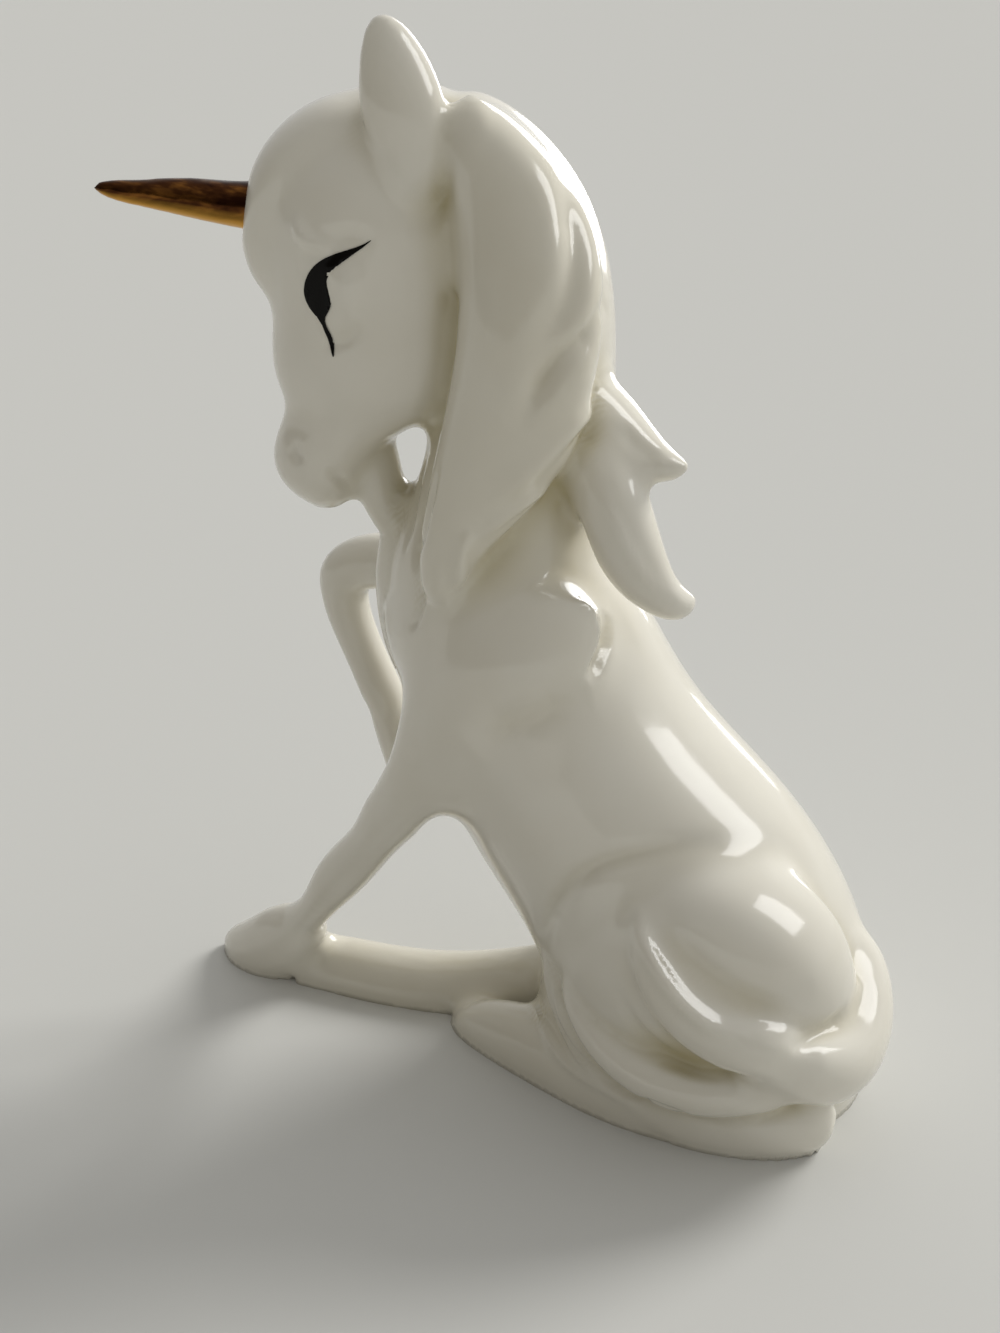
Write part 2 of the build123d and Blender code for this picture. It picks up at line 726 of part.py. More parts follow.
with BuildPart() as tail_lock_middle:
    middle_lock_form = loft(sections=limb(
        figure, middle_lock_start, alike(middle_lock_length),
        (middle_lock_width, middle_lock_width), middle_lock_shares,
    ))
    add(seat + [tail_root_form, top_lock_form], mode=Mode.SUBTRACT)
tail_lock_middle.part.label = "tail_lock_middle"
export_step(tail_lock_middle.part, "parts/tail_lock_middle.step")

with BuildPart() as tail_lock_outer:
    loft(sections=limb(
        figure, outer_lock_start, alike(outer_lock_length),
        (outer_lock_width, outer_lock_width), outer_lock_shares,
    ))
    split(bisect_by=Plane.XY, keep=Keep.TOP)
    add(seat + [tail_root_form, middle_lock_form], mode=Mode.SUBTRACT)
tail_lock_outer.part.label = "tail_lock_outer"
export_step(tail_lock_outer.part, "parts/tail_lock_outer.step")
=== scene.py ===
import math

import bmesh
import bpy
import numpy as np
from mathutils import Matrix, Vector
from mathutils.bvhtree import BVHTree


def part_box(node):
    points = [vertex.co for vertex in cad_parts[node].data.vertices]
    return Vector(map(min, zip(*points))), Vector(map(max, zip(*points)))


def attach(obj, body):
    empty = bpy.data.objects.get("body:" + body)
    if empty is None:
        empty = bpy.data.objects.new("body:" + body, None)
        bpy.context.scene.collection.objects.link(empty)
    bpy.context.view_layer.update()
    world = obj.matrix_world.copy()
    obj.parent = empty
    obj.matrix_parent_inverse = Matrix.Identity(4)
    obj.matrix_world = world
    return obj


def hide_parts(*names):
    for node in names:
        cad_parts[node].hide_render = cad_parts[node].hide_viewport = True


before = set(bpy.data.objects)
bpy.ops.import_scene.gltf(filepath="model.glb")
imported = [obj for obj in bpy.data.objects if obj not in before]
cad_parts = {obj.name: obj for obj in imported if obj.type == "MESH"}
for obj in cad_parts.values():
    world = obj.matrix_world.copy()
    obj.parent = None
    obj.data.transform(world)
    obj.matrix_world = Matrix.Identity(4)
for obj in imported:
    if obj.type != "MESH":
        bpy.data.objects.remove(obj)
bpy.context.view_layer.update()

# The figurine is dressed in metres. Sizes below are in millimetres and are turned by MM.
MM = 0.001
CLAY_GRAIN = 0.55
HORN_GRAIN = 0.35
LUTING_SWELL = 0.18
CASTING_WALL = 1.6
WALL_SHARE = 0.3
FOOT_BAND = 0.6
FOOT_FLAT = 0.35
ENAMEL_FILM = 0.12
VENT_PLACE = Vector((-9.0, 0, 3.4))
VENT_PLUG_RADIUS = 2.4
VENT_PLUG_DEPTH = 4.0

# Rounds of smoothing, over the skin's own net
SPONGE_ROUNDS = 24
CARVED_ROUNDS = 2
HOLLOW_ROUNDS = 14
BROAD_ROUNDS = 60
PAINTED_SHADE_ROUNDS = 140
PARTING_ROUNDS = 8
HORN_ROUNDS = 12

GILDED = ["horn"]
ENAMELLED = ["eye_enamel_left", "eye_enamel_right"]
CASTINGS = [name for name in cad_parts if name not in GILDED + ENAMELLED]

# How far, in millimetres, the slip at a join between two castings is sponged smooth
SPONGED_JOINS = {
    ("neck", "trunk"): 6.0,
    ("foreleg_left", "trunk"): 5.0,
    ("foreleg_left", "neck"): 5.0,
    ("foreleg_right", "trunk"): 3.0,
    ("haunch_left", "trunk"): 3.0,
    ("haunch_right", "trunk"): 4.5,
    ("haunch_left", "hind_foot_left"): 2.0,
    ("hind_foot_left", "trunk"): 2.0,
    ("hind_foot_right", "trunk"): 5.0,
    ("haunch_right", "hind_foot_right"): 3.0,
    ("front_hoof_left", "hind_foot_right"): 3.0,
    ("hind_foot_left", "hind_foot_right"): 3.0,
    ("head", "neck"): 2.5,
    ("forelock", "head"): 2.5,
    ("ear_left", "head"): 1.8,
    ("ear_right", "head"): 1.8,
    ("beard", "head"): 1.8,
    ("beard", "neck"): 1.8,
    ("chest_lock", "foreleg_right"): 2.0,
    ("chest_lock", "neck"): 1.4,
    ("chest_lock", "trunk"): 2.4,
    ("mane_crest", "mane_lock_left"): 5.0,
    ("mane_crest", "mane_lock_right"): 4.0,
    ("head", "mane_crest"): 2.5,
    ("head", "mane_lock_left"): 4.5,
    ("ear_left", "mane_lock_left"): 1.2,
    ("ear_left", "mane_crest"): 1.2,
    ("mane_lock_left", "neck"): 1.2,
    ("mane_crest", "neck"): 2.5,
    ("mane_curl_upper", "neck"): 3.0,
    ("mane_crest", "mane_curl_upper"): 2.5,
    ("mane_crest", "mane_curl_lower"): 3.0,
    ("mane_curl_upper", "mane_lock_left"): 2.0,
    ("mane_curl_lower", "mane_lock_left"): 2.0,
    ("mane_curl_lower", "neck"): 3.0,
    ("mane_curl_lower", "trunk"): 3.0,
    ("mane_curl_lower", "mane_curl_upper"): 2.0,
    ("foreleg_left", "front_hoof_left"): 1.6,
    ("foreleg_right", "front_hoof_right"): 1.6,
    ("tail_root", "trunk"): 3.0,
    ("haunch_left", "tail_root"): 1.4,
    ("tail_lock_top", "tail_root"): 3.0,
    ("tail_lock_middle", "tail_root"): 3.0,
    ("tail_lock_outer", "tail_root"): 2.0,
}
PLAIN_JOIN = 0.9
SPONGE_EDGE = 1.25
SPONGE_PACE = 1.3

# Castings with fine forms, which the sponge passes over lightly
FINE_SHARE = 0.35
FINE_CASTINGS = (
    "ear_left", "ear_right", "mane_curl_upper", "mane_curl_lower", "beard", "chest_lock",
    "tail_lock_top", "tail_lock_middle", "tail_lock_outer", "front_hoof_left", "front_hoof_right",
    "foreleg_right",
)

# Painted shade: how strongly narrow and broad hollows take the painted warm shade colour, and the
# most of it there
NARROW_PAINTED_SHADE, BROAD_PAINTED_SHADE = 7, 20
MOST_PAINTED_SHADE = 0.4

# Castings that take a painted warm shade, and how much of the painted shade colour each has
PAINTED_SHADE_CASTINGS = {
    "mane_lock_left": 0.16, "beard": 0.18, "chest_lock": 0.12, "neck": 0.06,
    "hind_foot_right": 0.16, "hind_foot_left": 0.10, "foreleg_left": 0.05,
}

# Lines that the sculptor cut or raised, as places in the picture, and the steps between places
STROKE_STEPS = 6
STROKE_SPREAD = 0.6
STROKE_FADE = 3.5
MANE_GROOVE = [(560, 150), (572, 200), (578, 250), (570, 300), (545, 345), (520, 400)]
MANE_TWIST = [(606, 300), (590, 335), (560, 362), (535, 395), (515, 440)]
MANE_RIDGE = [(618, 345), (600, 395), (560, 440), (515, 485), (475, 520)]
LOCK_TIP_RIDGE = [(470, 530), (462, 550), (459, 575), (456, 592)]
LOCK_LOWER_RIDGE = [(548, 488), (520, 506), (495, 524), (476, 545)]
UPPER_CURL_GROOVE = [(618, 425), (640, 448), (665, 462)]
LOWER_CURL_RIDGE = [(600, 490), (618, 530), (640, 570), (668, 600)]
SHOULDER_CREASE = [(606, 612), (606, 640), (598, 665), (584, 684)]
SHOULDER_UNDER = [(590, 690), (545, 712), (505, 728), (470, 752)]
HAUNCH_FRONT = [(540, 950), (548, 915), (565, 890), (600, 866), (660, 850), (730, 838)]
TAIL_RIDGE_INNER = [(638, 905), (648, 950), (675, 995), (715, 1028), (755, 1035)]
TAIL_GROOVE_INNER = [(655, 905), (690, 955), (730, 985), (775, 1000), (820, 985)]
TAIL_GROOVE_MIDDLE = [(615, 985), (640, 1030), (690, 1068), (745, 1088)]
TAIL_RIDGE_OUTER = [(546, 925), (538, 965), (540, 1010), (560, 1055), (600, 1088), (650, 1112)]
TAIL_LINE_OUTER = [
    (556, 940), (549, 980), (556, 1020), (580, 1058), (620, 1088), (680, 1112), (740, 1128),
]
TAIL_TIP_LINE = [(790, 1050), (825, 1030), (850, 1000)]
EYELID_FOLD = [(300, 262), (322, 246), (350, 238), (378, 246)]
EYE_UNDER = [(322, 345), (345, 340), (366, 322)]
EYEBALL = [(346, 285), (350, 310)]
BROW = [(294, 214), (303, 236), (320, 246), (340, 238)]
NOSTRIL = [(290, 448), (297, 456), (300, 466)]
MOUTH = [(352, 492), (338, 478), (322, 470)]
CHEST_HAIR_EDGE = [(427, 575), (418, 614), (408, 636)]
NECK_HAIR_ONE = [(430, 440), (418, 490), (410, 530), (402, 560)]
NECK_HAIR_TWO = [(440, 460), (430, 505), (422, 540), (414, 575)]


# Camera: the photograph's, 1000 x 1333 pixels
PICTURE_WIDTH, PICTURE_HEIGHT = 1000, 1333
LENS, SENSOR = 50.0, 36.0
AZIMUTH, ELEVATION = math.radians(20), math.radians(25)
camera_place = Vector((38.7, -196.6, 150.0)) * MM
look = Vector((
    -math.sin(AZIMUTH) * math.cos(ELEVATION),
    math.cos(AZIMUTH) * math.cos(ELEVATION),
    -math.sin(ELEVATION),
))
picture_right = Vector((math.cos(AZIMUTH), math.sin(AZIMUTH), 0))
picture_up = picture_right.cross(look)

camera = bpy.data.objects.new("camera", bpy.data.cameras.new("camera"))
camera.data.lens = LENS
camera.data.sensor_width = SENSOR
camera.data.clip_start = 0.01
camera.data.clip_end = 20
camera.location = camera_place
camera.rotation_mode = "QUATERNION"
camera.rotation_quaternion = look.to_track_quat("-Z", "Y")
bpy.context.collection.objects.link(camera)
bpy.context.scene.camera = camera


def sight(across, down):
    """The way the camera looks through a place in the picture, in its pixels."""
    focal = LENS / SENSOR * PICTURE_HEIGHT
    side = (across - PICTURE_WIDTH / 2) / focal
    rise = (PICTURE_HEIGHT / 2 - down) / focal
    return (look + picture_right * side + picture_up * rise).normalized()


def set_values(node, **values):
    """Sets a shader node's inputs, named with underscores for spaces."""
    for name, value in values.items():
        node.inputs[name.replace("_", " ")].default_value = value


def colour_mix(nodes, links, share, one, other):
    """A colour between one and other, each of them a plain colour or a socket."""
    mix = nodes.new("ShaderNodeMix")
    mix.data_type = "RGBA"
    links.new(share, mix.inputs["Factor"])
    for name, colour in (("A", one), ("B", other)):
        if isinstance(colour, tuple):
            mix.inputs[name].default_value = (*colour, 1)
        else:
            links.new(colour, mix.inputs[name])
    return mix.outputs["Result"]


def facing_up(nodes, links):
    """How far a surface faces up, from -1 underneath to 1 on top."""
    facing = nodes.new("ShaderNodeNewGeometry")
    split = nodes.new("ShaderNodeSeparateXYZ")
    links.new(facing.outputs["Normal"], split.inputs["Vector"])
    return split.outputs["Z"]


# Clay: all castings joined with slip, as one skin
def casting_mesh(name):
    """A merged copy of one CAD casting."""
    bm = bmesh.new()
    bm.from_mesh(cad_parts[name].data)
    bmesh.ops.remove_doubles(bm, verts=bm.verts, dist=0.002 * MM)
    return bm


def mesh_object(name, bm):
    """A bmesh as a shown object at the origin."""
    mesh = bpy.data.meshes.new(name)
    bm.to_mesh(mesh)
    bm.free()
    thing = bpy.data.objects.new(name, mesh)
    bpy.context.collection.objects.link(thing)
    return thing


def remeshed(bm, grain):
    """The outer skin of closed, overlapping shapes, as an even net of four-sided faces."""
    thing = mesh_object("clay", bm)
    remesh = thing.modifiers.new("clay", "REMESH")
    remesh.mode = "VOXEL"
    remesh.voxel_size = grain * MM
    view = thing.evaluated_get(bpy.context.evaluated_depsgraph_get())
    mesh = bpy.data.meshes.new_from_object(view)
    raw = thing.data
    bpy.data.objects.remove(thing)
    bpy.data.meshes.remove(raw)
    return mesh


def outer_skin(mesh):
    """Keeps the largest connected net of a mesh."""
    bm = bmesh.new()
    bm.from_mesh(mesh)
    bm.verts.ensure_lookup_table()
    group = [-1] * len(bm.verts)
    sizes = []
    for seed in bm.verts:
        if group[seed.index] >= 0:
            continue
        number = len(sizes)
        group[seed.index] = number
        waiting = [seed]
        size = 0
        while waiting:
            vert = waiting.pop()
            size += 1
            for edge in vert.link_edges:
                other = edge.other_vert(vert)
                if group[other.index] < 0:
                    group[other.index] = number
                    waiting.append(other)
        sizes.append(size)
    largest = sizes.index(max(sizes))
    spare = [vert for vert in bm.verts if group[vert.index] != largest]
    bmesh.ops.delete(bm, geom=spare, context="VERTS")
    bm.to_mesh(mesh)
    bm.free()
    return mesh


clay = bmesh.new()
for name in CASTINGS:
    piece = casting_mesh(name)
    piece.normal_update()
    for vert in piece.verts:
        vert.co += vert.normal * LUTING_SWELL * MM
    lump = bpy.data.meshes.new(name)
    piece.to_mesh(lump)
    piece.free()
    clay.from_mesh(lump)
    bpy.data.meshes.remove(lump)

# The vent hole stays blind, so that the skin has no inside
vent_plug = bmesh.ops.create_cone(
    clay, cap_ends=True, segments=24, radius1=VENT_PLUG_RADIUS * MM,
    radius2=VENT_PLUG_RADIUS * MM, depth=VENT_PLUG_DEPTH * MM,
)
bmesh.ops.translate(clay, verts=vent_plug["verts"], vec=VENT_PLACE * MM)

skin = outer_skin(remeshed(clay, CLAY_GRAIN))

points = np.empty(len(skin.vertices) * 3)
skin.vertices.foreach_get("co", points)
points = points.reshape(-1, 3)
ends = np.empty(len(skin.edges) * 2, dtype=np.int64)
skin.edges.foreach_get("vertices", ends)
ends = ends.reshape(-1, 2)
neighbour_count = np.bincount(ends.ravel(), minlength=len(points)).astype(float)


def neighbour_mean(values):
    """The mean of a value over the neighbours of each point of the skin."""
    columns = []
    for column in values.reshape(len(points), -1).T:
        total = np.bincount(ends[:, 0], column[ends[:, 1]], len(points))
        total += np.bincount(ends[:, 1], column[ends[:, 0]], len(points))
        columns.append(total / neighbour_count)
    return np.stack(columns, axis=-1).reshape(values.shape)


def sponge(weight, rounds, keep_size):
    """Smooths the skin where weight is above zero. keep_size pushes back what it shrinks."""
    steps = (0.5, -0.515) if keep_size else (0.5,)
    for _ in range(rounds):
        for step in steps:
            shift = neighbour_mean(points) - points
            points[:] = points + shift * (weight * step)[:, None]


# Owners: the casting that each point of the skin belongs to, and how near the next one is
trees = {}
boxes = {}
for name in CASTINGS:
    piece = casting_mesh(name)
    trees[name] = BVHTree.FromBMesh(piece)
    piece.free()
    low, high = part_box(name)
    boxes[name] = (np.array(low), np.array(high))

REACH = 7.0 * MM
distance = np.full((len(points), len(CASTINGS)), 1.0)
for column, name in enumerate(CASTINGS):
    low, high = boxes[name]
    near = np.all((points > low - REACH) & (points < high + REACH), axis=1)
    for index in np.nonzero(near)[0]:
        found = trees[name].find_nearest(points[index], REACH)
        if found[0] is not None:
            distance[index, column] = found[3]

order = np.argsort(distance, axis=1)
owner = order[:, 0]
second = order[:, 1]
rows = np.arange(len(points))
margin = (distance[rows, second] - distance[rows, owner]) / MM

# Sponging: each join over its own width, then the whole skin against facets
pair_width = np.full((len(CASTINGS), len(CASTINGS)), PLAIN_JOIN)
for (one, other), width in SPONGED_JOINS.items():
    a, b = CASTINGS.index(one), CASTINGS.index(other)
    pair_width[a, b] = pair_width[b, a] = width
width = pair_width[owner, second]

on_floor = points[:, 2] < FOOT_BAND * MM
for reach in sorted(set(pair_width.ravel())):
    weight = np.where(width == reach, np.clip(SPONGE_EDGE - margin / reach, 0, 1), 0)
    weight[on_floor] = 0
    sponge(weight, int(SPONGE_PACE * (reach / CLAY_GRAIN) ** 2) + 1, keep_size=False)

fine = np.isin(owner, [CASTINGS.index(name) for name in FINE_CASTINGS])
overall = np.where(fine, FINE_SHARE, 1.0)
overall[on_floor] = 0
sponge(overall, SPONGE_ROUNDS, keep_size=True)

# The foot stands flat
points[:, 2] = np.where(points[:, 2] < FOOT_FLAT * MM, 0, points[:, 2])
skin.vertices.foreach_set("co", points.ravel())
skin.update()

normals = np.empty((len(points), 3))
skin.vertices.foreach_get("normal", normals.ravel())
# The chest lock ends too thin to lose its swell
swollen = (points[:, 2] > 0) & (owner != CASTINGS.index("chest_lock"))
points -= normals * LUTING_SWELL * MM * swollen[:, None]
skin.vertices.foreach_set("co", points.ravel())
skin.update()


# Carving: grooves and ridges cut in the clay along the sculptor's lines
def carve(path, width, depth, owners, fade=True):
    """Presses a line of the picture into the skin, or raises it where depth is below zero.

    Its places are smoothed into a curve and cast on the skin. width and depth are in
    millimetres, and only the named castings are touched. A line that fades dies away at both
    ends.
    """
    line = []
    padded = [path[0]] + path + [path[-1]]
    for index in range(len(path) - 1):
        four = padded[index:index + 4]
        for step in range(STROKE_STEPS):
            t = step / STROKE_STEPS
            blend = (
                -0.5 * t + t * t - 0.5 * t ** 3, 1 - 2.5 * t * t + 1.5 * t ** 3,
                0.5 * t + 2 * t * t - 1.5 * t ** 3, 0.5 * (t ** 3 - t * t),
            )
            across = sum(b * p[0] for b, p in zip(blend, four))
            down = sum(b * p[1] for b, p in zip(blend, four))
            place = carving_tree.ray_cast(camera_place, sight(across, down))[0]
            if place is not None:
                line.append(np.array(place))
    centre = np.mean(line, axis=0)
    span = max(np.linalg.norm(place - centre) for place in line) + 2 * width * MM
    picked = np.isin(owner, [CASTINGS.index(name) for name in owners])
    picked &= np.linalg.norm(points - centre, axis=1) < span
    index = np.nonzero(picked)[0]
    gap = np.full(len(index), 1.0)
    along = np.zeros(len(index))
    for number, (start, end) in enumerate(zip(line, line[1:])):
        run = end - start
        part = np.clip((points[index] - start) @ run / max(run @ run, 1e-12), 0, 1)
        near = np.linalg.norm(points[index] - start - part[:, None] * run, axis=1)
        along = np.where(near < gap, (number + part) / (len(line) - 1), along)
        gap = np.minimum(gap, near)
    force = np.exp(-(gap / (STROKE_SPREAD * width * MM)) ** 2)
    if fade:
        force *= np.clip(STROKE_FADE * np.minimum(along, 1 - along), 0, 1)
    carved[index] -= normals[index] * (force * depth * MM)[:, None]


corners = np.array([list(face.vertices) for face in skin.polygons])
skin.vertices.foreach_get("normal", normals.ravel())
carving_tree = BVHTree.FromPolygons(points.tolist(), corners.tolist())
carved = points.copy()
MANE = ["mane_crest", "mane_lock_left"]
CURLS = ["mane_curl_upper", "mane_curl_lower"]
CHEST = ["neck", "trunk", "chest_lock", "foreleg_left"]
SHOULDER = ["trunk", "neck", "foreleg_left"]
TAIL = [
    "haunch_left", "tail_root", "tail_lock_top", "tail_lock_middle", "tail_lock_outer",
    "hind_foot_left",
]
for path, width, depth, owners in (
    (MANE_GROOVE, 3.2, 1.1, MANE),
    (MANE_TWIST, 2.4, 1.3, MANE),
    (MANE_RIDGE, 2.6, -0.7, MANE),
    (LOCK_TIP_RIDGE, 1.6, -0.9, MANE),
    (LOCK_LOWER_RIDGE, 1.5, -0.5, MANE),
    (UPPER_CURL_GROOVE, 1.4, 0.3, CURLS),
    (LOWER_CURL_RIDGE, 1.2, -0.35, CURLS),
    (SHOULDER_CREASE, 1.7, 1.1, SHOULDER),
    (SHOULDER_UNDER, 4.5, 1.1, SHOULDER),
    (HAUNCH_FRONT, 2.2, 1.0, ["trunk", "haunch_left", "tail_root"]),
    (TAIL_RIDGE_INNER, 1.6, -0.9, TAIL),
    (TAIL_GROOVE_INNER, 2.4, 0.7, TAIL),
    (TAIL_GROOVE_MIDDLE, 1.6, 0.5, TAIL),
    (TAIL_RIDGE_OUTER, 1.2, -0.5, TAIL),
    (TAIL_LINE_OUTER, 1.0, 0.4, TAIL),
    (TAIL_TIP_LINE, 1.2, 0.4, TAIL),
    (EYELID_FOLD, 1.6, 0.4, ["head", "forelock"]),
    (EYE_UNDER, 1.5, 0.45, ["head"]),
    (BROW, 1.3, -0.8, ["head", "forelock"]),
    (NOSTRIL, 1.4, 0.5, ["head"]),
    (MOUTH, 1.1, 0.5, ["head"]),
    (CHEST_HAIR_EDGE, 1.1, 0.5, CHEST),
    (NECK_HAIR_ONE, 0.9, 0.45, CHEST + MANE),
    (NECK_HAIR_TWO, 0.9, 0.45, CHEST + MANE),
):
    carve(path, width, depth, owners)
carve(EYEBALL, 3.2, -0.8, ["head"], fade=False)
points[:] = carved
sponge(np.where(points[:, 2] > 0, 0.5, 0.0), CARVED_ROUNDS, keep_size=True)
skin.vertices.foreach_set("co", points.ravel())
skin.update()
skin.vertices.foreach_get("normal", normals.ravel())

# Painted shade in the hollows: a darker, warm colour where the skin is concave
hollow = np.sum((neighbour_mean(points) - points) * normals, axis=1) / (CLAY_GRAIN * MM)
for _ in range(HOLLOW_ROUNDS):
    hollow = neighbour_mean(hollow)
broad = hollow.copy()
for _ in range(BROAD_ROUNDS):
    broad = neighbour_mean(broad)
# Painted shade on whole castings, spread softly over their borders
painted_shade_on_castings = np.zeros(len(points))
for name, share in PAINTED_SHADE_CASTINGS.items():
    painted_shade_on_castings[owner == CASTINGS.index(name)] = share
for _ in range(PAINTED_SHADE_ROUNDS):
    painted_shade_on_castings = neighbour_mean(painted_shade_on_castings)
# Painted shade mask: the narrow and broad hollows, then the shaded castings
painted_shade_mask = np.clip(hollow * NARROW_PAINTED_SHADE, 0, MOST_PAINTED_SHADE)
painted_shade_mask += np.clip(broad * BROAD_PAINTED_SHADE, 0, MOST_PAINTED_SHADE)
painted_shade_mask += painted_shade_on_castings

# Castings again: the skin is parted along the joins, and each part is closed inside
for _ in range(PARTING_ROUNDS):
    votes = np.zeros((len(points), len(CASTINGS)))
    votes[rows, owner] = 1
    owner = np.argmax(neighbour_mean(votes) + votes * 0.3, axis=1)

skin_tree = BVHTree.FromPolygons(points.tolist(), corners.tolist())
wall = np.full(len(points), CASTING_WALL * MM)
for index, (place, way) in enumerate(zip(points, normals)):
    start = Vector(place - way * 0.02 * MM)
    across = skin_tree.ray_cast(start, -Vector(way), 2.5 * CASTING_WALL * MM)[3]
    if across is not None:
        wall[index] = min(wall[index], WALL_SHARE * across)
corner_owner = owner[corners]
face_owner = corner_owner[:, 0]
for index in range(1, 4):
    same = (corner_owner == corner_owner[:, [index]]).sum(axis=1)
    face_owner = np.where(same >= 3, corner_owner[:, index], face_owner)


def parted(name, faces):
    """One casting as a closed shell: its part of the skin, and a wall behind it."""
    used, renumbered = np.unique(faces, return_inverse=True)
    mesh = bpy.data.meshes.new(name + "_glazed")
    mesh.from_pydata(points[used].tolist(), [], renumbered.reshape(faces.shape).tolist())
    # Each casting carries the painted shade mask as a point attribute
    painted_shade_layer = mesh.attributes.new("painted_shade_mask", "FLOAT", "POINT")
    painted_shade_layer.data.foreach_set("value", painted_shade_mask[used])
    shading = mesh.attributes.new("shading", "FLOAT_VECTOR", "POINT")
    shading.data.foreach_set("vector", normals[used].ravel())
    depth = mesh.attributes.new("depth", "FLOAT", "POINT")
    depth.data.foreach_set("value", wall[used])
    bm = bmesh.new()
    bm.from_mesh(mesh)
    way_layer = bm.verts.layers.float_vector["shading"]
    depth_layer = bm.verts.layers.float["depth"]
    inside = bmesh.ops.extrude_face_region(bm, geom=bm.faces, use_keep_orig=True)["geom"]
    for vert in inside:
        if isinstance(vert, bmesh.types.BMVert):
            vert.co -= vert[way_layer] * vert[depth_layer]
            vert[way_layer] = -vert[way_layer]
    bmesh.ops.recalc_face_normals(bm, faces=bm.faces)
    bm.to_mesh(mesh)
    bm.free()
    for polygon in mesh.polygons:
        polygon.use_smooth = True
    ways = np.empty(len(mesh.vertices) * 3)
    mesh.attributes["shading"].data.foreach_get("vector", ways)
    mesh.normals_split_custom_set_from_vertices(ways.reshape(-1, 3).tolist())
    mesh.attributes.remove(mesh.attributes["shading"])
    mesh.attributes.remove(mesh.attributes["depth"])
    thing = bpy.data.objects.new(name + "_glazed", mesh)
    bpy.context.collection.objects.link(thing)
    return thing


# Finishes
IVORY = (0.74, 0.705, 0.61)
PALE_IVORY = (0.80, 0.775, 0.695)
# Painted shade: the darker, warm colour laid into hollows and onto shaded castings
PAINTED_SHADE_BROWN = (0.45, 0.385, 0.19)
BARE_BISCUIT = (0.72, 0.68, 0.58)
BURNT_GILT = (0.03, 0.010, 0.005)
BROWN_GILT = (0.07, 0.026, 0.009)
THIN_GILT = (0.24, 0.10, 0.022)
# Painted reflection: the pale floor as the gilt underside would mirror it
AMBER_PAINTED_REFLECTION = (0.62, 0.33, 0.06)
ENAMEL_BLACK = (0.002, 0.002, 0.002)
ENAMEL_THIN = (0.006, 0.005, 0.004)
PALE_TABLE = (0.62, 0.62, 0.60)
DIM_ROOM = (0.10, 0.085, 0.06)
DAYLIT_ROOM = (0.72, 0.72, 0.71)
STRAIGHT_DOWN = -0.97


def group_socket(tree, name, kind, outward=False, value=None):
    """A named socket of a node group."""
    way = "OUTPUT" if outward else "INPUT"
    socket = tree.interface.new_socket(name=name, in_out=way, socket_type=kind)
    if value is not None:
        socket.default_value = value


def make_glaze_ripple():
    """The slow waviness of fired glaze: a normal and a mask of its thickness."""
    tree = bpy.data.node_groups.new("Glaze ripple", "ShaderNodeTree")
    group_socket(tree, "Scale", "NodeSocketFloat", value=160.0)
    group_socket(tree, "Depth", "NodeSocketFloat", value=0.2)
    group_socket(tree, "Normal", "NodeSocketVector", outward=True)
    group_socket(tree, "Thickness", "NodeSocketFloat", outward=True)
    nodes, links = tree.nodes, tree.links
    given = nodes.new("NodeGroupInput")
    out = nodes.new("NodeGroupOutput")
    place = nodes.new("ShaderNodeTexCoord")
    wave = nodes.new("ShaderNodeTexNoise")
    set_values(wave, Detail=1.5, Roughness=0.4)
    bump = nodes.new("ShaderNodeBump")
    set_values(bump, Distance=0.0006)
    links.new(place.outputs["Object"], wave.inputs["Vector"])
    links.new(given.outputs["Scale"], wave.inputs["Scale"])
    links.new(given.outputs["Depth"], bump.inputs["Strength"])
    links.new(wave.outputs["Fac"], bump.inputs["Height"])
    links.new(bump.outputs["Normal"], out.inputs["Normal"])
    links.new(wave.outputs["Fac"], out.inputs["Thickness"])
    return tree


glaze_ripple = make_glaze_ripple()


def new_material(name):
    """A material with its Principled shader and a glaze ripple in it."""
    material = bpy.data.materials.new(name)
    material.use_nodes = True
    nodes = material.node_tree.nodes
    ripple = nodes.new("ShaderNodeGroup")
    ripple.node_tree = glaze_ripple
    principled = nodes["Principled BSDF"]
    material.node_tree.links.new(ripple.outputs["Normal"], principled.inputs["Normal"])
    return material, nodes, material.node_tree.links, principled, ripple


def make_porcelain():
    """Ivory glaze, with a painted warm shade in its hollows and on some castings, and a bare
    biscuit foot.
    """
    material, nodes, links, principled, ripple = new_material("Ivory glazed porcelain")
    set_values(ripple, Scale=120.0, Depth=0.12)
    set_values(principled, Roughness=0.14, Coat_Weight=0.4, Coat_Roughness=0.06, IOR=1.52)
    painted_shade_node = nodes.new("ShaderNodeAttribute")
    painted_shade_node.attribute_name = "painted_shade_mask"
    ivory = colour_mix(nodes, links, ripple.outputs["Thickness"], IVORY, PALE_IVORY)
    # The painted shade colour is mixed in here, as far as the painted shade mask reaches
    warm = colour_mix(nodes, links, painted_shade_node.outputs["Fac"], ivory, PAINTED_SHADE_BROWN)
    under = nodes.new("ShaderNodeMath")
    under.operation = "LESS_THAN"
    under.inputs[1].default_value = STRAIGHT_DOWN
    links.new(facing_up(nodes, links), under.inputs[0])
    biscuit = colour_mix(nodes, links, under.outputs["Value"], warm, BARE_BISCUIT)
    links.new(biscuit, principled.inputs["Base Color"])
    return material


